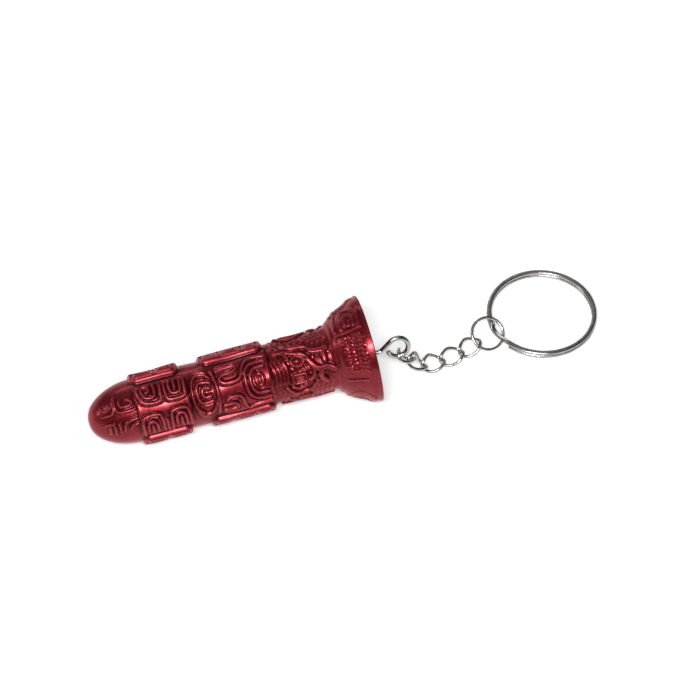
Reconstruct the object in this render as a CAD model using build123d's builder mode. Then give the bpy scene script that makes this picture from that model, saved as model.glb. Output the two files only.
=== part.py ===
# Keychain: patterned silicone pendant, screw eye, five curb links, jump ring and
# split ring, laid out at rest on a flat surface. Millimetres, +Z up. The pendant
# axis lies in the XZ plane with its round nose towards -X and its flat base
# towards +X; the chain leaves the base and the split ring lies at the +X end.
import math
import os
from build123d import *

os.makedirs("parts", exist_ok=True)

# ---------------------------------------------------------------- dimensions
# pendant (t runs from the nose tip along the axis, r is measured from the axis)
PENDANT_LEN = 66.0
NOSE_R = 5.25            # nose cap radius
NOSE_ARC_R = 14.58       # arc that blends the nose cap into the barrel
BARREL_START = 10.9
BARREL_R = 7.15
WAIST_START = 42.6
WAIST_END = 44.4
WAIST_R = 6.67
NECK_R = 7.0
RIB_R = 7.25
FLARE_START = 56.1
BASE_R = 12.36
FLARE = [(57.4, 7.78), (58.1, 8.34), (58.75, 9.13), (59.45, 9.54),
         (62.6, 10.85), (63.15, 11.3), (64.1, 11.9), (PENDANT_LEN, BASE_R)]
TILE_ROWS = 7
TILE_SPAN = 40.0         # degrees about the axis
TILE_PHASE = -21.0
FRONT_TILES = [(10.9, 16.2), (17.2, 22.7)]
FRONT_TILE_R = 8.26
REAR_TILES = [(27.2, 31.8), (32.4, 36.8), (37.4, 42.2)]
REAR_TILE_R = 8.10
TILE_ROOT_R = 6.4

# screw eye
EYE_WIRE_R = 0.55
EYE_LOOP_R = 2.40        # wire centre line
EYE_RISE_DEG = 37.6      # slope of the wire from the shank up to the loop
EYE_BEND_R = 1.3
EYE_TAIL_DEG = -168.0    # loop angle where the wire is cut
THREAD_LEN = 9.0
THREAD_CORE_R = 0.45
THREAD_R = 0.75
THREAD_PITCH = 0.9
PILOT_R = 0.58

# chain links (twisted ovals) and rings
LINK_WIRE_R = 0.35
LINK_A = 2.87            # half length, wire centre line
LINK_B = 1.98            # half width, wire centre line
LINK_TWIST = -45.0       # degrees at each end
LINK_SPANS = 12
JUMP_WIRE_R = 0.35
JUMP_R = 3.68            # wire centre line
JUMP_GAP_DEG = 3.0
JUMP_GAP_AT = 97.0
RING_OD = 25.0
RING_W = 1.1             # radial width of the strip
RING_H = 0.80            # height of one coil
RING_GAP = 0.06          # between the two coils
RAMP_START = -5.0        # degrees about the ring axis from the jump ring
RAMP_END = 25.0
RING_EDGE_R = 0.16

# ------------------------------------------------------------------ placement
SHIFT = Vector(11.709, -4.9265, 0.0004)
AXIS_DIR = Vector(0.9973, 0.0, 0.0732).normalized()
BASE_CENTRE = Vector(-6.4444, 1.4007, 12.3268) + SHIFT
NOSE_TIP = BASE_CENTRE - AXIS_DIR * PENDANT_LEN
FACE_UP = Vector(-0.1639, -0.5890, 0.7912)   # pattern zero direction
EYE_CENTRE = Vector(0.0, 0.0, 12.2) + SHIFT
EYE_UP = Vector(-0.0687, 0.3469, 0.9354).normalized()
LINKS = [  # centre, long direction, width direction
    ((1.5521, -0.4351, 8.7058), (0.5797, 0.2291, -0.7819), (-0.4164, 0.9082, -0.0427)),
    ((4.6059, 0.1347, 4.9922), (0.6721, 0.0045, -0.7404), (0.1598, 0.9755, 0.1510)),
    ((8.4612, 0.7142, 2.6020), (0.9368, 0.2373, -0.2571), (-0.1232, 0.9115, 0.3923)),
    ((13.1627, 1.8442, 1.9202), (0.9748, 0.2222, -0.0201), (-0.1903, 0.8751, 0.4450)),
    ((17.8146, 3.3925, 1.8968), (0.9136, 0.4064, 0.0106), (-0.3695, 0.8192, 0.4387)),
]
JUMP_CENTRE = Vector(22.7787, 5.6018, 2.2953) + SHIFT
JUMP_X = Vector(0.9081, 0.4042, 0.1096).normalized()
JUMP_Y = Vector(-0.3994, 0.7569, 0.5172).normalized()
RING_CENTRE = Vector(36.3456, 8.3005, 1.5673) + SHIFT
RING_AXIS = Vector(0.0539, 0.0220, 0.9983).normalized()
RING_X = Vector(-0.9783, -0.1989, 0.0572).normalized()


def polar(a, x, y):
    a = math.radians(a)
    return x * math.cos(a) + y * math.sin(a)


# -------------------------------------------------------------------- pendant
AXIS_UP = Vector(-AXIS_DIR.Z, 0.0, AXIS_DIR.X)
AXIAL = Plane(origin=NOSE_TIP, x_dir=AXIS_DIR, z_dir=Vector(0, -1, 0))
PENDANT_AXIS = Axis(NOSE_TIP, AXIS_DIR)
ZERO_DIR = (FACE_UP - AXIS_DIR * FACE_UP.dot(AXIS_DIR)).normalized()
SIDE_DIR = AXIS_DIR.cross(ZERO_DIR).normalized()

# tangent point of the two nose arcs
c2 = Vector(BARREL_START, BARREL_R - NOSE_ARC_R)
c1 = Vector(NOSE_R, 0.0)
k = (c1 - c2).normalized()
blend = c2 + k * NOSE_ARC_R
mid1_a = math.atan2(blend.Y, blend.X - NOSE_R)
mid1 = (NOSE_R + NOSE_R * math.cos((mid1_a + math.pi) / 2), NOSE_R * math.sin((mid1_a + math.pi) / 2))
mid2_a = (math.atan2(k.Y, k.X) + math.pi / 2) / 2
mid2 = (c2.X + NOSE_ARC_R * math.cos(mid2_a), c2.Y + NOSE_ARC_R * math.sin(mid2_a))

# pilot hole, on the line of the screw eye
hole_foot = EYE_CENTRE - AXIS_DIR * (EYE_CENTRE - BASE_CENTRE).dot(AXIS_DIR)

with BuildPart() as charm_body:
    with BuildSketch(AXIAL):
        with BuildLine():
            ThreePointArc((0, 0), mid1, (blend.X, blend.Y))
            ThreePointArc((blend.X, blend.Y), mid2, (BARREL_START, BARREL_R))
            pts = [(BARREL_START, BARREL_R), (WAIST_START - 0.2, BARREL_R),
                   (WAIST_START, WAIST_R), (WAIST_END, WAIST_R), (WAIST_END + 0.5, NECK_R)]
            x = WAIST_END + 0.9
            while x < FLARE_START - 1.6:
                pts += [(x, NECK_R), (x + 0.35, RIB_R), (x + 1.35, RIB_R), (x + 1.7, NECK_R)]
                x += 2.1
            pts += [(FLARE_START, NECK_R)] + FLARE + [(PENDANT_LEN, 0.0), (0.0, 0.0)]
            Polyline(*pts)
        make_face()
    revolve(axis=PENDANT_AXIS)
    for k_row in range(TILE_ROWS):
        a0 = TILE_PHASE + k_row * 360.0 / TILE_ROWS - TILE_SPAN / 2
        rad = polar(a0, ZERO_DIR, SIDE_DIR)
        with BuildSketch(Plane(origin=NOSE_TIP, x_dir=AXIS_DIR, z_dir=AXIS_DIR.cross(rad))) as tile_sk:
            for (t0, t1), r in [(t, FRONT_TILE_R) for t in FRONT_TILES] + [(t, REAR_TILE_R) for t in REAR_TILES]:
                with BuildLine():
                    Polyline((t0, TILE_ROOT_R), (t0, r - 0.15), (t0 + 0.15, r), (t1 - 0.15, r),
                             (t1, r - 0.15), (t1, TILE_ROOT_R), close=True)
                make_face()
        revolve(axis=PENDANT_AXIS, revolution_arc=TILE_SPAN)
    with BuildSketch(Plane(origin=hole_foot, z_dir=-AXIS_DIR)):
        Circle(PILOT_R)
    extrude(amount=THREAD_LEN + 0.6, mode=Mode.SUBTRACT)
charm_body.part.label = "charm_body"

# ------------------------------------------------------------------ screw eye
EYE_UP = (EYE_UP - AXIS_DIR * EYE_UP.dot(AXIS_DIR)).normalized()
rise = math.radians(EYE_RISE_DEG)
join_a = 90.0 + EYE_RISE_DEG                       # loop angle where the rise meets the loop
loop_in = polar(join_a, AXIS_DIR, EYE_UP) * EYE_LOOP_R
corner_n = loop_in.dot(AXIS_DIR) - loop_in.dot(EYE_UP) / math.tan(rise)
cut = EYE_BEND_R * math.tan(rise / 2)
bend_a = AXIS_DIR * (corner_n - cut)
bend_b = AXIS_DIR * corner_n + (AXIS_DIR * math.cos(rise) + EYE_UP * math.sin(rise)) * cut
bend_c = bend_a + EYE_UP * EYE_BEND_R
bend_m = bend_c + AXIS_DIR * (EYE_BEND_R * math.sin(rise / 2)) - EYE_UP * (EYE_BEND_R * math.cos(rise / 2))
face_n = (BASE_CENTRE - EYE_CENTRE).dot(AXIS_DIR)

with BuildPart() as screw_eye:
    with BuildLine() as eye_path:
        Line(EYE_CENTRE + AXIS_DIR * (face_n - 0.2), EYE_CENTRE + bend_a)
        ThreePointArc(EYE_CENTRE + bend_a, EYE_CENTRE + bend_m, EYE_CENTRE + bend_b)
        Line(EYE_CENTRE + bend_b, EYE_CENTRE + loop_in)
        angles = [join_a, 20.0, -80.0, EYE_TAIL_DEG]
        for s, e in zip(angles[:-1], angles[1:]):
            ThreePointArc(EYE_CENTRE + polar(s, AXIS_DIR, EYE_UP) * EYE_LOOP_R,
                          EYE_CENTRE + polar((s + e) / 2, AXIS_DIR, EYE_UP) * EYE_LOOP_R,
                          EYE_CENTRE + polar(e, AXIS_DIR, EYE_UP) * EYE_LOOP_R)
    with BuildSketch(Plane(origin=EYE_CENTRE + AXIS_DIR * (face_n - 0.2), z_dir=AXIS_DIR)):
        Circle(EYE_WIRE_R)
    sweep(path=eye_path.wires()[0])
    with BuildSketch(Plane(origin=EYE_CENTRE + AXIS_DIR * face_n, x_dir=AXIS_DIR,
                           z_dir=AXIS_DIR.cross(EYE_UP))):
        with BuildLine():
            prof = [(-0.05, 0.0), (-0.05, THREAD_CORE_R)]
            x = -0.8
            while x > -THREAD_LEN + 1.6:
                prof += [(x, THREAD_CORE_R), (x - 0.25, THREAD_R), (x - 0.35, THREAD_R), (x - 0.6, THREAD_CORE_R)]
                x -= THREAD_PITCH
            prof += [(-THREAD_LEN + 1.0, THREAD_CORE_R), (-THREAD_LEN, 0.0)]
            Polyline(*prof, close=True)
        make_face()
    revolve(axis=Axis(EYE_CENTRE, AXIS_DIR))
screw_eye.part.label = "screw_eye"


# ---------------------------------------------------------------- chain links
def link_frame(spec):
    c, d, lat = spec
    d = Vector(*d).normalized()
    lat = Vector(*lat)
    lat = (lat - d * lat.dot(d)).normalized()
    return Vector(*c) + SHIFT, d, lat, d.cross(lat)


def link_point(frame, s):
    c, d, lat, nor = frame
    x = LINK_A * math.cos(s)
    y = LINK_B * math.sin(s)
    a = math.radians(LINK_TWIST) * x / LINK_A
    return c + d * x + lat * (y * math.cos(a)) + nor * (y * math.sin(a))


def link_tangent(frame, s):
    e = 1e-4
    return (link_point(frame, s + e) - link_point(frame, s - e)).normalized()


def arc_mid(p, q, apex):
    m = (p + q) * 0.5
    half = (q - p).length / 2
    lift = apex - m
    alpha = math.atan2(lift.length, half)
    return m + lift.normalized() * (half * math.tan(alpha / 2))


def link_arcs(frame):
    # tangent-continuous pairs of circular arcs through points of the twisted oval
    out = []
    knots = [math.radians(15 + 360.0 * i / LINK_SPANS) for i in range(LINK_SPANS + 1)]
    for s0, s1 in zip(knots[:-1], knots[1:]):
        p0, p1 = link_point(frame, s0), link_point(frame, s1)
        if s1 == knots[-1]:
            p1 = link_point(frame, knots[0])
        t0, t1 = link_tangent(frame, s0), link_tangent(frame, s1)
        v, t = p1 - p0, t0 + t1
        qa, qb, qc = 2 * (1 - t0.dot(t1)), 2 * v.dot(t), -v.dot(v)
        d = (-qb + math.sqrt(qb * qb - 4 * qa * qc)) / (2 * qa)
        q0, q1 = p0 + t0 * d, p1 - t1 * d
        j = (q0 + q1) * 0.5
        out.append((p0, arc_mid(p0, j, q0), j))
        out.append((j, arc_mid(j, p1, q1), p1))
    return out


def link_solid(spec):
    arcs = link_arcs(link_frame(spec))
    half = len(arcs) // 2
    with BuildPart() as link:
        for run in (arcs[:half], arcs[half:]):
            with BuildLine() as path:
                for p, m, q in run:
                    ThreePointArc(p, m, q)
            with BuildSketch(Plane(origin=run[0][0], z_dir=path.wires()[0] % 0)):
                Circle(LINK_WIRE_R)
            sweep(path=path.wires()[0])
    return link


chain = []
for i, spec in enumerate(LINKS):
    link = link_solid(spec)
    link.part.label = f"chain_link_{i + 1}"
    chain.append(link)

# ------------------------------------------------------------------ jump ring
JUMP_N = JUMP_X.cross(JUMP_Y).normalized()
JUMP_Y = JUMP_N.cross(JUMP_X).normalized()
with BuildPart() as jump_ring:
    a0 = JUMP_GAP_AT + JUMP_GAP_DEG / 2
    with BuildSketch(Plane(origin=JUMP_CENTRE + polar(a0, JUMP_X, JUMP_Y) * JUMP_R,
                           z_dir=polar(a0 + 90, JUMP_X, JUMP_Y))):
        Circle(JUMP_WIRE_R)
    revolve(axis=Axis(JUMP_CENTRE, JUMP_N), revolution_arc=360.0 - JUMP_GAP_DEG)
jump_ring.part.label = "jump_ring"

# ----------------------------------------------------------------- split ring
RING_X = (RING_X - RING_AXIS * RING_X.dot(RING_AXIS)).normalized()
RING_Y = RING_AXIS.cross(RING_X)
RING_R = (RING_OD - RING_W) / 2
COIL_H = (RING_H + RING_GAP) / 2


def strip_plane(a, h):
    rad = polar(a, RING_X, RING_Y)
    return Plane(origin=RING_CENTRE + rad * RING_R + RING_AXIS * h, x_dir=rad,
                 z_dir=polar(a + 90, RING_X, RING_Y))


with BuildPart() as split_ring:
    for h in (-COIL_H, COIL_H):
        with BuildSketch(strip_plane(RAMP_END, h)):
            RectangleRounded(RING_W, RING_H, RING_EDGE_R)
        revolve(axis=Axis(RING_CENTRE, RING_AXIS), revolution_arc=360.0 - (RAMP_END - RAMP_START))
    n_ramp = 8
    for i in range(n_ramp + 1):
        u = i / n_ramp
        ease = u * u * (3 - 2 * u)
        with BuildSketch(strip_plane(RAMP_START + (RAMP_END - RAMP_START) * u, COIL_H * (2 * ease - 1))):
            RectangleRounded(RING_W, RING_H, RING_EDGE_R)
    loft(ruled=True)
split_ring.part.label = "split_ring"

# --------------------------------------------------------------------- export
pieces = [charm_body, screw_eye] + chain + [jump_ring, split_ring]
lo = [min(getattr(p.part.bounding_box().min, c) for p in pieces) for c in "XYZ"]
hi = [max(getattr(p.part.bounding_box().max, c) for p in pieces) for c in "XYZ"]
print("box low", [round(v, 4) for v in lo], "high", [round(v, 4) for v in hi])
for p in pieces:
    s = p.part.solids()
    print(p.part.label, "solids", len(s), "valid", p.part.is_valid, "volume", round(p.part.volume, 3))
    export_step(p.part, f"parts/{p.part.label}.step")
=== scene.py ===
import math

import bpy
import numpy as np
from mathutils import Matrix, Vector


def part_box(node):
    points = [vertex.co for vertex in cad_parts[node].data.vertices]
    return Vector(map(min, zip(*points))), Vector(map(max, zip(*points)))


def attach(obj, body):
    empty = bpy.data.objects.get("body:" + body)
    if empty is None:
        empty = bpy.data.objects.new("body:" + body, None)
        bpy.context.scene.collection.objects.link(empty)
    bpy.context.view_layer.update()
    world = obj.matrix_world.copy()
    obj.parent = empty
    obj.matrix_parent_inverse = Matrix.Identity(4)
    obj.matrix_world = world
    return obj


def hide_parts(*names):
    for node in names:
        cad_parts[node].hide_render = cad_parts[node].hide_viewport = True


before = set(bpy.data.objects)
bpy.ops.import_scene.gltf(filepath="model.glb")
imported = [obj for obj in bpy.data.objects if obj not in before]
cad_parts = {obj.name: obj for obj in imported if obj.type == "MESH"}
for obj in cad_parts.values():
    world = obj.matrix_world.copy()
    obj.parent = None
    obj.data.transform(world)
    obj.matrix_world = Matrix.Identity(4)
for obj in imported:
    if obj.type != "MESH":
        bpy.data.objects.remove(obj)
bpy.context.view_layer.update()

# ------------------------------------------------------------------ pendant frame
# the pendant is a body of revolution about a tilted axis; its frame comes from the
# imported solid: flat base at the +X side, round nose at the -X side
MM = 0.001
AXIS = Vector((0.9973, 0.0, 0.0732)).normalized()
ZERO = Vector((-0.1644, -0.5890, 0.7912))
ZERO = (ZERO - AXIS * ZERO.dot(AXIS)).normalized()
SIDE = AXIS.cross(ZERO).normalized()
LEN = 66.0
BASE_R = 12.36
lo, hi = [Vector(v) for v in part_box("charm_body")]
base_c = Vector((hi.x / MM - BASE_R * AXIS.z, (lo.y + hi.y) / 2 / MM, lo.z / MM + BASE_R * AXIS.x))
NOSE = base_c - AXIS * LEN

# ------------------------------------------------------------------ relief
# every stroke is a list of (mm from the nose, degrees round the axis)
NA = 306
PROFILE = [(0.0, 0.0), (0.05, 0.72), (0.2, 1.43), (0.45, 2.12), (0.8, 2.79), (1.3, 3.46), (2.07, 4.18),
           (2.9, 4.79), (3.9, 5.38), (5.0, 5.92), (6.2, 6.36), (7.4, 6.70), (8.6, 6.95), (9.8, 7.10),
           (10.9, 7.15), (42.3, 7.15), (43.0, 6.85), (44.4, 6.78), (45.2, 6.88), (55.6, 6.92), (56.2, 7.05),
           (56.95, 7.25), (57.4, 7.80), (57.75, 8.20), (58.1, 8.34), (58.75, 9.05), (59.45, 9.54), (62.4, 10.76), (63.1, 11.22),
           (64.1, 11.90), (65.6, 12.26), (66.0, 12.30)]
NOSE_LINES = [
    [(3.04, -29.7), (3.32, -16.5), (4.42, -12.4), (5.35, -18.9)],
    [(2.73, -3.2), (5.5, -2.5), (5.77, -11.9), (5.76, -28.7)],
    [(6.35, -35.7), (6.28, -11.6), (6.78, -2.3), (10.92, -1.7), (11.16, -11.2)],
    [(7.44, -24.6), (7.39, -13.7), (7.76, -10.9), (10.06, -10.8), (10.52, -17.1), (9.15, -23.4)],
    [(2.66, 22.1), (4.98, 16.3), (5.29, 22.5), (5.4, 42.2)],
    [(4.14, 25.2), (4.24, 42.9)],
    [(7.42, 35), (7.58, 23.8), (8.37, 16.5), (10.94, 13.5)],
    [(8.98, 32.6), (9.16, 26.8), (10.84, 22.9)],
    [(6.45, 19.2), (6.56, 38.2)],
]
FRONT_LINES = [
    [(12.04, -32.7), (12.2, -14.1), (13.31, -4.6), (16.61, -3.4), (17.23, -9.7), (17.3, -36.1)],
    [(12.94, -31.7), (13.09, -18.5), (13.71, -13.8), (15.42, -13.2), (15.97, -18.5), (15.93, -36.1)],
    [(13.87, -23.4), (14.64, -24.6), (14.69, -32.4), (13.46, -35.1)],
    [(18.3, -32.7), (18.18, -7.4), (18.81, -2.3), (21.93, -2.3), (22.69, -7.4), (22.82, -33.6)],
    [(19.31, -31.6), (19.3, -15.5), (19.82, -11.4), (21.18, -11.4), (21.73, -15.5), (21.91, -33.6)],
    [(20.6, -36.4), (20.5, -20.9)],
    [(11.91, 51.6), (11.67, 23.7), (12.2, 16.1), (15.73, 14.9), (16.29, 20.6), (16.51, 48.4)],
    [(12.8, 42.4), (12.78, 30.1), (13.28, 26.5), (14.42, 26.5), (14.84, 31.7), (14.98, 47.2)],
    [(13.81, 35.8), (13.91, 47.2)],
    [(18.36, 51.4), (18.34, 22.1), (18.92, 14.9), (21.88, 14.3), (22.5, 19.6), (22.76, 51.3)],
    [(19.47, 40.8), (19.43, 27.1), (19.94, 22.7), (21.08, 22.7), (21.56, 27.1), (21.74, 48.3)],
    [(20.53, 32.3), (20.68, 48.3)],
    [(17.24, 28.4), (17.44, 50.6)],
    [(11.65, -44.8), (15.66, -47.2), (20.59, -47), (25.48, -42.9), (28.12, -32.2)],
]
GAP_LINES = [
    [(28.51, -20.8), (27.72, -29.2), (25.77, -31.5), (24.38, -23), (23.95, -9.7), (23.95, 11.7), (24.52, 27),
     (25.8, 35.6)],
    [(24.33, 32.2), (25.86, 42.9), (28.1, 38.4), (29.06, 25.1)],
    [(28.4, -13.1), (26.14, -17.8), (25.28, -11.4), (25.04, 0.3), (25.29, 13.1), (26.15, 20.2), (28.26, 17.8)],
    [(28, -4.5), (26.79, -7.4), (26.25, -1.1), (26.25, 4.5), (26.8, 10.8), (28.01, 9.1)],
    [(29.25, -32.8), (29.7, -15.4), (29.82, 0.3), (29.71, 19), (29.35, 44.1)],
]
REAR_LINES = [
    [(30.23, -30.2), (33.36, -31.4), (34.86, -30.1), (34.98, -24.4), (34.04, -20.1), (31.46, -19.6), (30.68, -14.8),
     (30.89, -8.5), (31.91, -4.2), (34.57, -4.2), (35.6, -9.6), (36.01, -18.3), (36.68, -28.8), (37.75, -35.4),
     (39.48, -37.5), (41.65, -34.7)],
    [(32.04, -11.9), (34.2, -11.9), (34.78, -16)],
    [(30.57, 42.8), (33.47, 44.3), (33.78, 37.6), (33.21, 32.1), (30.63, 32.1)],
    [(31.41, 25), (32.07, 20.5), (34.35, 20.1), (35.07, 26.6), (35.27, 41.9), (36.27, 50.9), (37.44, 46.6),
     (41.45, 45.7)],
    [(41.48, -26.8), (38.64, -26.8), (37.09, -21.3), (36.43, -9.6), (36.45, 16), (37.13, 28.1), (38.7, 35.4),
     (41.44, 36.7)],
    [(41.06, -18.3), (39.05, -18.3), (37.88, -11.9), (37.49, -1.1), (37.54, 13.1), (38.23, 22.5), (39.39, 26.2),
     (41.1, 26.2)],
]
ARC_LINES = [
    [(41.65, -22.8), (42.36, -11.1), (42.52, 3.2), (42.39, 17.6), (41.69, 30)],
    [(42.89, -18), (43.32, -7.3), (43.47, 3.4), (43.34, 14.2), (42.93, 25.3)],
    [(43.85, -18.3), (44.27, -7.3), (44.42, 3.4), (44.29, 14.2), (43.89, 25.5)],
    [(44.8, -18.3), (45.22, -7.3), (45.37, 3.4), (45.24, 14.2), (44.84, 25.5)],
    [(45.7, -15.1), (46.06, -5.8), (46.17, 3.4), (46.07, 14.2), (45.74, 23.8)],
]
STRAPS = [
    [(46.14, -33.6), (48.17, -24.5), (50.25, -23.2), (51.72, -8.9), (52.36, 9.5), (51.78, 25.5), (50.11, 30.7),
     (48.67, 41.2), (46.72, 35)],
    [(46.09, -49.9), (47.31, -37.3), (49.01, -36.5), (51.35, -35), (52.34, -23.2)],
    [(44.07, -35.4), (46.02, -32.1), (46.82, -19.9)],
    [(45.39, 34.3), (46.86, 50.9), (50.31, 53.4), (52.41, 34.3)],
]
LOBES = [
    [(51.23, -10.4), (52.36, 7.3), (53.82, 12.9), (55.33, 11), (56.54, 18.5)],
    [(53.82, 12.9), (53.35, 27.2), (54.42, 38.8)],
    [(52.34, -23.2), (53.84, -19.9), (55.75, -21.2)],
    [(54.98, -19.9), (55.01, -1.2)],
]
OVALS = [(48.87, -10.4, 1.6, 1.25), (48.69, 21.8, 1.7, 1.2), (49.48, -46.0, 1.7, 1.0)]
PITS = [(53.7, -4.5, 0.75, 1.25), (55.9, -3.5, 0.6, 1.15), (55.2, 27.0, 0.9, 0.6), (54.2, -31.0, 0.9, 0.6)]
FLARE_LINES = [
    [(58.43, -34.9), (59.18, -67.5), (60.81, -87.4), (64.38, -77)],
    [(64.02, -30.4), (64.16, -51.2), (61.68, -65.4), (60.18, -60.1), (59.74, -38.4), (60.48, -31)],
    [(63.05, -33.1), (63.14, -46.4), (61.93, -53.1), (60.91, -49.4), (60.83, -37.2), (62.05, -34.2), (62.2, -41.1)],
    [(58.25, -29.0), (61.18, -27.3), (64.14, -27)],
    [(58.91, 38.4), (60.92, 38.7), (63.18, 38.5)],
]


def smooth(a, b, x):
    u = np.clip((x - a) / (b - a), 0.0, 1.0)
    return u * u * (3 - 2 * u)


def rounded(pts, n=2):
    for _ in range(n):
        if len(pts) < 3:
            return pts
        out = [pts[0]]
        for (x0, y0), (x1, y1) in zip(pts, pts[1:]):
            out += [(x0 * 0.75 + x1 * 0.25, y0 * 0.75 + y1 * 0.25), (x0 * 0.25 + x1 * 0.75, y0 * 0.25 + y1 * 0.75)]
        pts = out[:1] + out[2:-1] + [(x1, y1)]
    return pts


def seg_dist(X, Y, pts):
    d = np.full(X.shape, 1e9)
    for (x0, y0), (x1, y1) in zip(pts, pts[1:]):
        vx, vy = x1 - x0, y1 - y0
        L = max(vx * vx + vy * vy, 1e-12)
        u = np.clip(((X - x0) * vx + (Y - y0) * vy) / L, 0, 1)
        d = np.minimum(d, np.hypot(X - x0 - u * vx, Y - y0 - u * vy))
    return d


def box_sd(X, Y, cx, cy, hx, hy, r):
    qx = np.abs(X - cx) - hx + r
    qy = np.abs(Y - cy) - hy + r
    return np.hypot(np.maximum(qx, 0), np.maximum(qy, 0)) + np.minimum(np.maximum(qx, qy), 0) - r


def oval_ring(X, Y, cx, cy, a, b):
    q = np.hypot((X - cx) / a, (Y - cy) / b)
    return np.abs(q - 1) * min(a, b) * (0.6 + 0.4 * np.minimum(q, 1))


T1 = np.concatenate([np.linspace(0, 2.0, 24)[:-1], np.linspace(2.0, 10.9, 40)[:-1],
                     np.linspace(10.9, 23.2, 66)[:-1], np.linspace(23.2, 42.6, 98)[:-1],
                     np.linspace(42.6, 57.6, 62)[:-1], np.linspace(57.6, LEN, 34)])
NT = len(T1)
A1 = np.linspace(-180, 180, NA, endpoint=False)
T, A = np.meshgrid(T1, A1, indexing="ij")
R0 = np.interp(T, [p[0] for p in PROFILE], [p[1] for p in PROFILE])
h = np.zeros_like(T)
line = np.zeros_like(T)          # 1 on the crest of a line, 0 elsewhere
RAD = math.radians(1)


def wrap(a):
    return ((a + 180) % 360) - 180


def dist_all(strokes, turn, r, scale_t=0.0):
    """distance in mm to the nearest stroke, strokes given in degrees, turned round the axis"""
    Yl = wrap(A - turn) * RAD * r
    d = np.full(T.shape, 1e9)
    for pts in strokes:
        d = np.minimum(d, seg_dist(T, Yl, rounded([(t, a * RAD * r) for t, a in pts])))
    return d


def crest(d, w=0.16, s=0.30):
    return 1 - smooth(w, w + s, d)


def crease(d, a=0.34, b=0.62, c=0.95):
    return smooth(a, a + 0.14, d) * (1 - smooth(b, c, d))


def lay(d, plate, base, top, groove, w=0.20):
    """crest lines on a plate with a crease beside them"""
    global h, line
    c = crest(d, w)
    flat = base - groove * (1 - smooth(0.46, 0.80, d))
    v = flat + (top - flat) * c
    h = np.maximum(h, v * plate)
    line = np.maximum(line, c * plate)


for turn in (0.0, 154.3):
    Yl = wrap(A - turn - 6.0) * RAD * 7.9
    # nose: fine lines that fade towards the tip
    d = dist_all(NOSE_LINES, turn, 6.6)
    fade = smooth(2.0, 4.6, T) * (1 - smooth(10.9, 11.3, T))
    c = crest(d, 0.13, 0.24)
    near = 1 - smooth(0.34, 0.75, d)
    h = np.where(T < 11.3, h + fade * (0.52 * c - 0.34 * near * (1 - c)), h)
    line = np.maximum(line, c * fade)
    # front segment
    sd = box_sd(T, Yl, 17.25, 0.0, 5.95, 6.6, 1.0)
    plate = 1 - smooth(-0.25, 0.25, sd)
    lay(dist_all(FRONT_LINES, turn, 7.9), plate, 0.58, 0.98, 0.26)
    # medallion in the gap
    sd = np.hypot((T - 26.7) / 2.9, (Yl + 0.2) / 6.3) - 1
    plate = 1 - smooth(-0.08, 0.10, sd)
    lay(dist_all(GAP_LINES, turn, 7.7), np.maximum(plate, crest(dist_all(GAP_LINES[-1:], turn, 7.7), 0.3, 0.3)),
        0.46, 0.84, 0.28, 0.19)
    # rear segment
    sd = box_sd(T, Yl, 36.2, 0.0, 6.1, 6.6, 1.2)
    plate = 1 - smooth(-0.25, 0.25, sd)
    lay(dist_all(REAR_LINES, turn, 7.9), plate, 0.56, 0.92, 0.28)
    Yo = wrap(A - turn - 3.1) * RAD * 7.9
    q = np.hypot((T - 39.6) / 1.15, Yo / 1.95)
    dome = np.sqrt(np.clip(1 - np.minimum(q, 1) ** 2, 0, 1))
    h = np.where(q < 1.0, 0.36 + 0.30 * dome ** 0.5, h)
    d = oval_ring(T, Yo, 39.6, 0, 1.15, 1.95)
    h = h - 0.24 * crest(d, 0.06, 0.2) * (T < 41)
    h = h - 0.22 * crest(oval_ring(T, Yo, 39.6, 0, 0.52, 1.15), 0.05, 0.18)
    line = np.where(q < 0.7, 0.5, line)
    # nested arcs at the waist
    ya = wrap(A - turn - 3.4)
    zone = (1 - smooth(22, 30, np.abs(ya))) * smooth(42.2, 42.6, T) * (1 - smooth(46.3, 46.9, T))
    d = dist_all(ARC_LINES, turn, 7.1)
    c = crest(d, 0.12, 0.26)
    h = h * (1 - zone) + zone * (0.06 + 0.27 * c)
    line = line * (1 - zone) + zone * c

# long bars on the rows seen edge on, and on the row behind
for centre, notch in ((81.9, (17.3, 32.4, 37.7)), (-72.4, (17.3, 32.4, 37.7)), (-123.9, (17.3, 32.4, 37.7))):
    Yl = wrap(A - centre) * RAD * 8.1
    for x0, x1 in ((11.15, 23.0), (27.35, 42.4)):
        cx, hx = (x0 + x1) / 2, (x1 - x0) / 2
        sd = box_sd(T, Yl, cx, 0, hx, 3.1, 2.0)
        plate = 1 - smooth(-0.50, 0.14, sd)
        groove = crest(np.abs(sd + 1.02), 0.10, 0.30)
        belly = 1 - (np.clip(np.abs(Yl) - 0.3, 0, 3) / 2.8) ** 2
        v = (0.86 + 0.20 * belly) * plate - 0.66 * groove * plate
        for n in notch:
            cut = crest(np.abs(T - n), 0.14, 0.42) * (1 - smooth(1.2, 1.9, np.abs(Yl)))
            v = v - 0.50 * cut * plate
        cuts = [x0 + 0.6] + [n for n in notch if x0 < n < x1] + [x1 - 0.6]
        dg = np.full(T.shape, 1e9)
        for c0, c1 in zip(cuts, cuts[1:]):
            sc = box_sd(T, Yl, (c0 + c1) / 2, 0, (c1 - c0) / 2 - 0.85, 1.15, 0.5)
            dg = np.minimum(dg, np.minimum(np.abs(sc), np.abs(sc + 0.72)))
        v = v - 0.34 * crest(dg, 0.07, 0.22) * plate
        h = np.maximum(h, v)
        line = np.maximum(line, plate * np.clip(1 - 1.6 * groove, 0, 1) * smooth(-1.0, -0.5, sd))

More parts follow.
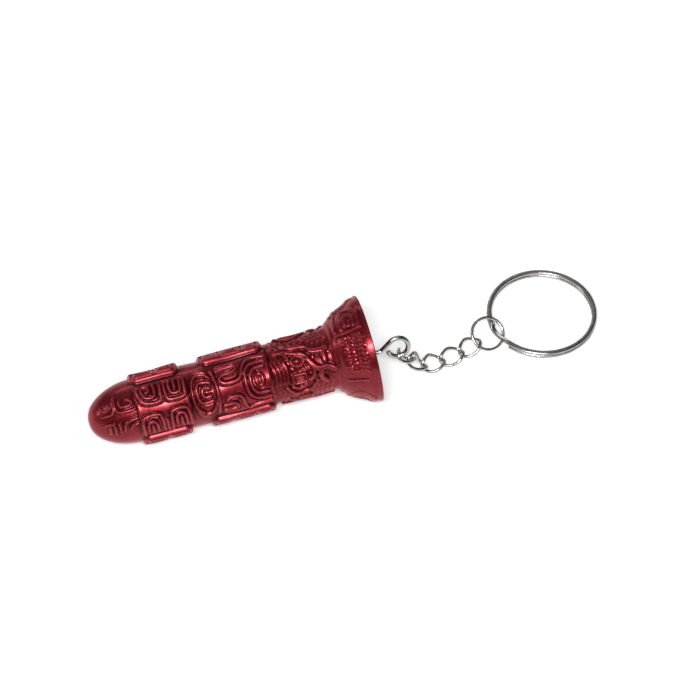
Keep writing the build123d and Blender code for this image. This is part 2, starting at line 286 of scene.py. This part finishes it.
# waist: serrated skin, ovals, straps, lobes and pits, three repeats round the axis
skin = smooth(43.0, 44.6, T) * (1 - smooth(55.8, 56.5, T))
yw = np.abs(((A / 30.0) % 1.0) - 0.5)
rope = 0.5 + 0.5 * np.cos(2 * math.pi * (T / 1.12 + 1.3 * yw))
rope2 = 0.5 + 0.5 * np.cos(2 * math.pi * (A / 10.0 + T * 0.16))
arcs_zone = np.zeros_like(T)
for turn in (0.0, 154.3):
    ya = wrap(A - turn - 3.4)
    arcs_zone = np.maximum(arcs_zone, (1 - smooth(22, 30, np.abs(ya))) * (1 - smooth(46.3, 46.9, T)))
skin *= 1 - arcs_zone
tex = (rope ** 1.2) * (0.5 + 0.5 * rope2)
h += skin * 0.26 * tex
line = np.maximum(line, skin * 0.7 * tex)
for turn in (0.0, 120.0, 240.0):
    on_zone = (1 - smooth(52, 60, np.abs(wrap(A - turn)))) * smooth(42.8, 43.4, T)
    dS = dist_all(STRAPS, turn, 7.1)
    near = (1 - smooth(0.45, 0.9, dS)) * on_zone
    h = h * (1 - near) + near * 0.02
    h = np.maximum(h, on_zone * 0.58 * crest(dS, 0.18, 0.30))
    line = np.maximum(line * (1 - near), on_zone * crest(dS, 0.18, 0.30))
    for (cx, ca, a, b) in OVALS:
        Yo = wrap(A - turn - ca) * RAD * 7.1
        if ca > 0:
            sq = box_sd(T, Yo, cx, 0, a, b, 0.5)
            inside = 1 - smooth(0.0, 0.25, sq)
            v = 0.06 + 0.48 * np.maximum(crest(np.abs(sq + 0.22), 0.12, 0.22), crest(np.abs(sq + 0.95), 0.12, 0.22))
            h = h * (1 - inside) + inside * v
            line = line * (1 - inside) + inside * crest(np.abs(sq + 0.22), 0.12, 0.22)
            continue
        q = np.hypot((T - cx) / a, Yo / b)
        inside = 1 - smooth(1.0, 1.2, q)
        v = 0.06 + 0.50 * crest(oval_ring(T, Yo, cx, 0, a * 0.92, b * 0.92), 0.13, 0.24)
        v = np.maximum(v, 0.55 * np.sqrt(np.clip(1 - np.minimum(q / 0.58, 1) ** 2, 0, 1)))
        h = h * (1 - inside) + inside * v
        line = line * (1 - inside) + inside * crest(oval_ring(T, Yo, cx, 0, a * 0.92, b * 0.92), 0.13, 0.24)
    for (cx, ca, a, b) in PITS:
        Yo = wrap(A - turn - ca) * RAD * 7.1
        q = np.hypot((T - cx) / a, Yo / b)
        pit = 1 - smooth(0.5, 1.25, q)
        h = h * (1 - pit) - 0.85 * pit
        line = line * (1 - pit)
    dL = dist_all(LOBES, turn, 7.1)
    c = crest(dL, 0.36, 0.42)
    h = np.maximum(h, c * 0.66)
    line = np.maximum(line * (1 - c * 0.5), 0.55 * c)

# flare: a rounded square spiral, a field of short unordered dashes and a bar, three repeats
for turn in (0.0, 148.0, 246.0):
    d = dist_all(FLARE_LINES, turn, 10.6)
    on = smooth(58.0, 58.6, T)
    c = crest(d, 0.17, 0.30) * on
    near = (1 - smooth(0.5, 0.95, d)) * on
    h = h + 0.19 * c - 0.08 * near * (1 - c)
    line = np.maximum(line, c)
    if turn == 148.0:
        continue
    Yd = wrap(A - turn - 1.5) * RAD * 10.8
    dd = np.full(T.shape, 1e9)
    for i, x in enumerate((60.1, 61.25, 62.4, 63.55)):
        for j in range(10):
            y = -4.3 + j * 0.93 + (0.25 if i % 2 else 0.0)
            kind = (i * 5 + j * 3) % 4
            pts = {0: [(x - 0.36, y), (x + 0.30, y + 0.05)], 1: [(x, y - 0.22), (x, y + 0.24)],
                   2: [(x - 0.34, y - 0.15), (x + 0.34, y + 0.12)], 3: [(x - 0.15, y - 0.18), (x + 0.15, y + 0.2)]}[kind]
            dd = np.minimum(dd, seg_dist(T, Yd, pts))
    c = crest(dd, 0.10, 0.26)
    h = h + 0.20 * c
    line = np.maximum(line, c)

# small ripples on the flare's rim and shoulder
h += 0.09 * smooth(57.8, 59.0, T) * np.cos(2 * math.pi * T / 1.15) * (0.5 + 0.5 * np.cos(A * RAD * 9)) * (1 - smooth(65.0, 65.8, T)) \
    * smooth(45, 70, np.abs(A))

# hand-cast unevenness
rng = np.random.default_rng(7)
soft = np.zeros_like(T)
for _ in range(14):
    ft, fa = rng.uniform(0.15, 0.9), rng.integers(1, 9)
    soft += rng.normal() * np.cos(ft * T + np.radians(A) * fa + rng.uniform(0, 6.28))
h += 0.018 * soft * smooth(0.4, 3.0, T) * (1 - smooth(64.8, 65.6, T))



def blur(F, mm):
    """gaussian mean over the surface, wrapped round the axis"""
    out = np.zeros_like(F)
    n = int(math.ceil(3 * mm / 0.15))
    wsum = 0.0
    for k in range(-n, n + 1):
        w = math.exp(-0.5 * (k * 0.15 / mm) ** 2)
        out += w * np.roll(F, k, 1)
        wsum += w
    out /= wsum
    res = np.empty_like(F)
    for i in range(NT):
        w = np.exp(-0.5 * ((T1 - T1[i]) / mm) ** 2) * cell
        res[i] = (w[:, None] * out).sum(0) / w.sum()
    return res


cell = np.gradient(T1)
# painted shade and painted highlight: the relief's local cavity (its height less a blurred copy) is used only to
# darken the colour in creases and lighten it on crests
cavity = np.clip((h - blur(h, 0.75)) * 1.5, -0.5, 0.5) + np.clip((h - blur(h, 0.30)) * 1.5, -0.5, 0.5)
R = R0 + h * smooth(0.0, 2.5, T)
cap = np.where(T < 23.5, 8.26, np.where(T < 43, 8.10, np.where(T < 56.3, 7.6, BASE_R)))
R = np.minimum(R, cap)
R = np.where(T > 63.5, np.minimum(R, BASE_R), R)


def place(t, r, ang):
    a = np.radians(ang)
    ca, sa = np.cos(a), np.sin(a)
    return np.stack([NOSE[i] + AXIS[i] * t + r * (ca * ZERO[i] + sa * SIDE[i]) for i in range(3)], -1) * MM


T = T + 0.45 * (1 - np.clip(T / 11.0, 0, 1))
verts = place(T[1:], R[1:], A[1:]).reshape(-1, 3)
rows_n = NT - 1
nose_v = place(np.array([0.45]), np.array([0.0]), np.array([0.0]))
base_rings = []
for rr, dt in ((12.18, 0.0), (11.6, 0.0), (9.0, 0.0), (5.5, 0.0), (2.4, 0.0)):
    base_rings.append(place(np.full(NA, LEN + dt), np.full(NA, rr), A1))
base_v = place(np.array([LEN]), np.array([0.0]), np.array([0.0]))
all_v = np.concatenate([verts] + base_rings + [nose_v, base_v])
rings = rows_n + len(base_rings)
idx = np.arange(rings * NA).reshape(rings, NA)
q = np.stack([idx[:-1], np.roll(idx[:-1], -1, 1), np.roll(idx[1:], -1, 1), idx[1:]], -1).reshape(-1, 4)
nose_i, base_i = rings * NA, rings * NA + 1
faces = [tuple(map(int, f)) for f in q]
faces += [(nose_i, int(idx[0, (j + 1) % NA]), int(idx[0, j])) for j in range(NA)]
faces += [(base_i, int(idx[-1, j]), int(idx[-1, (j + 1) % NA])) for j in range(NA)]
mesh = bpy.data.meshes.new("pendant_relief")
mesh.from_pydata(all_v.tolist(), [], faces)
mesh.update()
relief = np.concatenate([line[1:].reshape(-1), np.zeros(len(all_v) - rows_n * NA)])
# the cavity goes to the shader as an attribute that paints shade into the creases and highlight onto the crests
painted_shade_highlight = np.concatenate([np.clip(cavity[1:], -1.0, 1.0).reshape(-1), np.zeros(len(all_v) - rows_n * NA)])
for name, data in (("relief", relief), ("painted_shade_highlight", painted_shade_highlight)):
    at = mesh.attributes.new(name, "FLOAT", "POINT")
    at.data.foreach_set("value", data.astype(np.float32))
mesh.polygons.foreach_set("use_smooth", [True] * len(mesh.polygons))
pendant = bpy.data.objects.new("pendant_relief", mesh)
bpy.context.scene.collection.objects.link(pendant)
body = "charm"
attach(pendant, body)
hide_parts("charm_body")


# ------------------------------------------------------------------ split ring
# one strip wound twice, with softly rounded edges so the two coils read apart
SHIFT = Vector((11.709, -4.9265, 0.0004))
RC = Vector((36.3456, 8.3005, 1.5673)) + SHIFT
RA = Vector((0.0539, 0.0220, 0.9983)).normalized()
RX = Vector((-0.9783, -0.1989, 0.0572))
RX = (RX - RA * RX.dot(RA)).normalized()
RY = RA.cross(RX)
RW, RH, RR, RG, MID, COIL = 1.1, 0.80, 0.30, 0.06, 11.95, 0.43
prof = []
for cx, cy, a0 in ((1, 1, 0), (-1, 1, 90), (-1, -1, 180), (1, -1, 270)):
    for k in range(6):
        a = math.radians(a0 + 18 * k)
        prof.append((cx * (RW / 2 - RR) + RR * math.cos(a), cy * (RH / 2 - RR) + RR * math.sin(a)))
path = []
for i in range(231):
    path.append((25 + 330 * i / 230, -COIL))
for i in range(1, 25):
    u = i / 25
    path.append((355 + 30 * u, COIL * (2 * u * u * (3 - 2 * u) - 1)))
for i in range(231):
    path.append((385 + 330 * i / 230, COIL))
ring_v, ring_f = [], []
for ang, hh in path:
    a = math.radians(ang)
    rad = RX * math.cos(a) + RY * math.sin(a)
    wob = 0.010 * math.sin(3 * a + 0.7)
    for px, py in prof:
        ring_v.append(tuple((RC + rad * (MID + px) + RA * (hh + py * (1 - 0.02 * wob)))  * MM))
n_p = len(prof)
for i in range(len(path) - 1):
    for j in range(n_p):
        k = (j + 1) % n_p
        ring_f.append((i * n_p + j, (i + 1) * n_p + j, (i + 1) * n_p + k, i * n_p + k))
ring_f.append(tuple(reversed(range(n_p)))[::-1])
ring_f.append(tuple((len(path) - 1) * n_p + j for j in range(n_p))[::-1])
ring_mesh = bpy.data.meshes.new("split_ring_coils")
ring_mesh.from_pydata(ring_v, [], ring_f)
ring_mesh.update()
ring_mesh.polygons.foreach_set("use_smooth", [len(p.vertices) == 4 for p in ring_mesh.polygons])
ring_obj = bpy.data.objects.new("split_ring_coils", ring_mesh)
bpy.context.scene.collection.objects.link(ring_obj)
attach(ring_obj, "split_ring")
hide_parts("split_ring")


# ------------------------------------------------------------------ materials
def new_mat(name):
    m = bpy.data.materials.new(name)
    m.use_nodes = True
    nt = m.node_tree
    for n in list(nt.nodes):
        nt.nodes.remove(n)
    out = nt.nodes.new("ShaderNodeOutputMaterial")
    bsdf = nt.nodes.new("ShaderNodeBsdfPrincipled")
    nt.links.new(bsdf.outputs[0], out.inputs[0])
    return m, nt, bsdf


def node(nt, kind, **kw):
    n = nt.nodes.new(kind)
    for k, v in kw.items():
        setattr(n, k, v)
    return n


def ramp(nt, stops):
    n = nt.nodes.new("ShaderNodeValToRGB")
    while len(n.color_ramp.elements) < len(stops):
        n.color_ramp.elements.new(0.5)
    for e, (p, c) in zip(n.color_ramp.elements, stops):
        e.position = p
        e.color = c
    return n


def silicone(name="pearl_red_silicone", coat=0.20, metal=0.68, rough=0.0):
    m, nt, b = new_mat(name)
    L = nt.links.new
    tc = node(nt, "ShaderNodeTexCoord")
    # large, soft clouding of the pearl pigment
    cloud = node(nt, "ShaderNodeTexNoise")
    cloud.inputs["Scale"].default_value = 170.0
    cloud.inputs["Detail"].default_value = 3.0
    L(tc.outputs["Object"], cloud.inputs["Vector"])
    flake = node(nt, "ShaderNodeTexNoise")
    flake.inputs["Scale"].default_value = 2600.0
    flake.inputs["Detail"].default_value = 2.0
    L(tc.outputs["Object"], flake.inputs["Vector"])
    # base colour: painted shade, near-black red in the creases, and painted highlight, pink on the crests, both
    # read from the cavity attribute; the pigment clouding shifts the same ramp
    painted_shade_attr = node(nt, "ShaderNodeAttribute", attribute_name="painted_shade_highlight")
    pigment_and_painted_shade_ramp = ramp(nt, [(0.0, (0.036, 0.001, 0.002, 1)), (0.26, (0.100, 0.002, 0.006, 1)),
                     (0.5, (0.198, 0.012, 0.018, 1)), (1.0, (0.335, 0.036, 0.050, 1))])
    mr = node(nt, "ShaderNodeMapRange")
    mr.inputs["From Min"].default_value = -0.75
    mr.inputs["From Max"].default_value = 0.75
    L(painted_shade_attr.outputs["Fac"], mr.inputs["Value"])
    add = node(nt, "ShaderNodeMath", operation="ADD")
    sc = node(nt, "ShaderNodeMath", operation="MULTIPLY_ADD")
    sc.inputs[1].default_value = 0.36
    sc.inputs[2].default_value = -0.18
    L(cloud.outputs["Fac"], sc.inputs[0])
    L(mr.outputs["Result"], add.inputs[0])
    L(sc.outputs[0], add.inputs[1])
    L(add.outputs[0], pigment_and_painted_shade_ramp.inputs["Fac"])
    spark = ramp(nt, [(0.40, (0.75, 0.75, 0.75, 1)), (0.62, (1.12, 1.05, 1.07, 1)), (0.75, (1.7, 1.5, 1.55, 1))])
    L(flake.outputs["Fac"], spark.inputs["Fac"])
    mul = node(nt, "ShaderNodeMix", data_type="RGBA", blend_type="MULTIPLY")
    mul.inputs["Factor"].default_value = 1.0
    L(pigment_and_painted_shade_ramp.outputs["Color"], mul.inputs["A"])
    L(spark.outputs["Color"], mul.inputs["B"])
    L(mul.outputs["Result"], b.inputs["Base Color"])
    rr = node(nt, "ShaderNodeMapRange")
    rr.inputs["From Min"].default_value = 0.3
    rr.inputs["From Max"].default_value = 0.7
    rr.inputs["To Min"].default_value = 0.26 + rough
    rr.inputs["To Max"].default_value = 0.38 + rough
    L(flake.outputs["Fac"], rr.inputs["Value"])
    L(rr.outputs["Result"], b.inputs["Roughness"])
    b.inputs["Metallic"].default_value = metal
    b.inputs["Specular IOR Level"].default_value = 0.35
    b.inputs["Specular Tint"].default_value = (0.85, 0.45, 0.50, 1)
    b.inputs["Coat Weight"].default_value = coat
    b.inputs["Coat Roughness"].default_value = 0.15
    b.inputs["Sheen Weight"].default_value = 0.06
    b.inputs["Sheen Roughness"].default_value = 0.4
    b.inputs["Sheen Tint"].default_value = (1.0, 0.55, 0.62, 1)
    bump = node(nt, "ShaderNodeBump")
    bump.inputs["Strength"].default_value = 0.22
    bump.inputs["Distance"].default_value = 0.00012
    bn = node(nt, "ShaderNodeTexNoise")
    bn.inputs["Scale"].default_value = 900.0
    bn.inputs["Detail"].default_value = 4.0
    L(tc.outputs["Object"], bn.inputs["Vector"])
    L(bn.outputs["Fac"], bump.inputs["Height"])
    L(bump.outputs["Normal"], b.inputs["Normal"])
    return m


def steel(name, tint, rough, scratch, scale):
    m, nt, b = new_mat(name)
    L = nt.links.new
    tc = node(nt, "ShaderNodeTexCoord")
    mp = node(nt, "ShaderNodeMapping")
    mp.inputs["Scale"].default_value = (1.0, 1.0, 3.5)
    L(tc.outputs["Object"], mp.inputs["Vector"])
    n1 = node(nt, "ShaderNodeTexNoise")
    n1.inputs["Scale"].default_value = scale
    n1.inputs["Detail"].default_value = 5.0
    n1.inputs["Roughness"].default_value = 0.65
    L(mp.outputs["Vector"], n1.inputs["Vector"])
    col = ramp(nt, [(0.30, tuple(c * 0.62 for c in tint) + (1,)), (0.52, tint + (1,)),
                    (0.75, tuple(min(1, c * 1.12) for c in tint) + (1,))])
    L(n1.outputs["Fac"], col.inputs["Fac"])
    L(col.outputs["Color"], b.inputs["Base Color"])
    rr = node(nt, "ShaderNodeMapRange")
    rr.inputs["From Min"].default_value = 0.3
    rr.inputs["From Max"].default_value = 0.7
    rr.inputs["To Min"].default_value = rough
    rr.inputs["To Max"].default_value = rough + 0.14
    L(n1.outputs["Fac"], rr.inputs["Value"])
    L(rr.outputs["Result"], b.inputs["Roughness"])
    b.inputs["Metallic"].default_value = 1.0
    b.inputs["Specular Tint"].default_value = (0.30, 0.29, 0.29, 1)
    n2 = node(nt, "ShaderNodeTexNoise")
    n2.inputs["Scale"].default_value = scale * 4
    n2.inputs["Detail"].default_value = 3.0
    L(mp.outputs["Vector"], n2.inputs["Vector"])
    bump = node(nt, "ShaderNodeBump")
    bump.inputs["Strength"].default_value = scratch
    bump.inputs["Distance"].default_value = 0.00004
    L(n2.outputs["Fac"], bump.inputs["Height"])
    L(bump.outputs["Normal"], b.inputs["Normal"])
    return m


red = silicone()
mesh.materials.append(red)
matte = silicone("cast_red_base", 0.0, 0.16, 0.25)
mesh.materials.append(matte)
for f in mesh.polygons:
    c = sum((mesh.vertices[v].co for v in f.vertices), Vector()) / len(f.vertices)
    if (c / MM - NOSE).dot(AXIS) > LEN - 0.02:
        f.material_index = 1
        f.use_smooth = False
eye_mat = steel("nickel_eye", (0.44, 0.425, 0.415), 0.16, 0.25, 420.0)
link_mat = steel("nickel_chain", (0.50, 0.485, 0.475), 0.18, 0.30, 520.0)
jump_mat = steel("nickel_jump_ring", (0.52, 0.51, 0.50), 0.16, 0.25, 480.0)
ring_mat = steel("nickel_split_ring", (0.46, 0.45, 0.445), 0.17, 0.30, 380.0)


def set_mat(node_name, mat):
    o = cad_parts[node_name]
    if not o.material_slots:
        o.data.materials.append(mat)
    for s in o.material_slots:
        s.material = mat


set_mat("screw_eye", eye_mat)
for i in range(1, 6):
    set_mat(f"chain_link_{i}", link_mat)
set_mat("jump_ring", jump_mat)
set_mat("split_ring", ring_mat)
ring_mesh.materials.append(ring_mat)
set_mat("charm_body", red)

# ------------------------------------------------------------------ stage
bpy.ops.mesh.primitive_plane_add(size=4.0, location=(0, 0, -0.00005))
floor = bpy.context.object
floor.name = "studio_floor"
fm, nt, b = new_mat("paper_floor")
tc = node(nt, "ShaderNodeTexCoord")
pn = node(nt, "ShaderNodeTexNoise")
pn.inputs["Scale"].default_value = 60.0
nt.links.new(tc.outputs["Object"], pn.inputs["Vector"])
pr = ramp(nt, [(0.3, (0.90, 0.90, 0.90, 1)), (0.7, (0.93, 0.93, 0.93, 1))])
nt.links.new(pn.outputs["Fac"], pr.inputs["Fac"])
nt.links.new(pr.outputs["Color"], b.inputs["Base Color"])
b.inputs["Roughness"].default_value = 0.95
b.inputs["Emission Color"].default_value = (1, 1, 1, 1)
b.inputs["Emission Strength"].default_value = 0.32
b.inputs["Specular IOR Level"].default_value = 0.1
floor.data.materials.append(fm)

bpy.context.scene.view_settings.view_transform = "Standard"
world = bpy.data.worlds.new("studio_world")
bpy.context.scene.world = world
world.use_nodes = True
bg = world.node_tree.nodes["Background"]
wt = world.node_tree
wtc = wt.nodes.new("ShaderNodeTexCoord")
wsep = wt.nodes.new("ShaderNodeSeparateXYZ")
wt.links.new(wtc.outputs["Generated"], wsep.inputs[0])
wabs = wt.nodes.new("ShaderNodeMath")
wabs.operation = "ABSOLUTE"
wt.links.new(wsep.outputs["X"], wabs.inputs[0])
wr = ramp(wt, [(0.0, (0.62, 0.62, 0.62, 1)), (0.22, (0.40, 0.40, 0.40, 1)), (0.45, (0.10, 0.10, 0.10, 1)),
               (0.70, (0.03, 0.03, 0.03, 1)), (0.92, (0.22, 0.22, 0.22, 1))])
wt.links.new(wabs.outputs[0], wr.inputs["Fac"])
wt.links.new(wr.outputs["Color"], bg.inputs["Color"])
bg.inputs["Strength"].default_value = 0.62


def area(name, loc, target, size, power, color=(1, 1, 1)):
    d = bpy.data.lights.new(name, "AREA")
    d.shape = "RECTANGLE"
    d.size, d.size_y = size
    d.energy = power
    d.color = color
    o = bpy.data.objects.new(name, d)
    bpy.context.scene.collection.objects.link(o)
    o.location = loc
    v = Vector(target) - Vector(loc)
    o.rotation_euler = v.to_track_quat("-Z", "Y").to_euler()
    return o


area("key", (-0.18, -0.47, 0.70), (0, 0, 0.01), (0.34, 0.12), 7.2)
area("back", (0.05, 0.80, 0.42), (0, 0, 0.01), (0.70, 0.16), 0.9)
area("left", (-0.62, 0.10, 0.34), (0, 0, 0.01), (0.12, 0.40), 0.9)


def card(name, loc, target, size, shade):
    bpy.ops.mesh.primitive_plane_add(size=1.0, location=loc)
    o = bpy.context.object
    o.name = name
    o.scale = (size[0], size[1], 1)
    v = Vector(target) - Vector(loc)
    o.rotation_euler = v.to_track_quat("Z", "Y").to_euler()
    m, nt, b = new_mat(name + "_mat")
    b.inputs["Base Color"].default_value = (shade, shade, shade, 1)
    b.inputs["Roughness"].default_value = 0.9
    b.inputs["Specular IOR Level"].default_value = 0.0
    o.data.materials.append(m)
    return o


card("dark_card_right", (0.55, -0.15, 0.25), (0, 0, 0.02), (0.30, 0.40), 0.01)
card("dark_card_front", (-0.05, -0.62, 0.20), (0, 0, 0.02), (0.60, 0.22), 0.01)
card("dark_card_top", (0.16, -0.02, 0.80), (0, 0, 0.02), (0.16, 0.10), 0.01)

# ------------------------------------------------------------------ camera
AZ, EL = math.radians(-15.6), math.radians(52.3)
back = Vector((math.sin(AZ) * math.cos(EL), -math.cos(AZ) * math.cos(EL), math.sin(EL)))
target = Vector((0.00260, 0.00251, 0.005))
dist, width = 2.5, 0.1584
cd = bpy.data.cameras.new("camera")
cam = bpy.data.objects.new("camera", cd)
bpy.context.scene.collection.objects.link(cam)
cam.location = target + back * dist
cam.rotation_euler = back.to_track_quat("Z", "Y").to_euler()
cd.sensor_width = 36.0
cd.lens = 36.0 * dist / width
cd.clip_start, cd.clip_end = 0.1, 20.0
bpy.context.scene.camera = cam
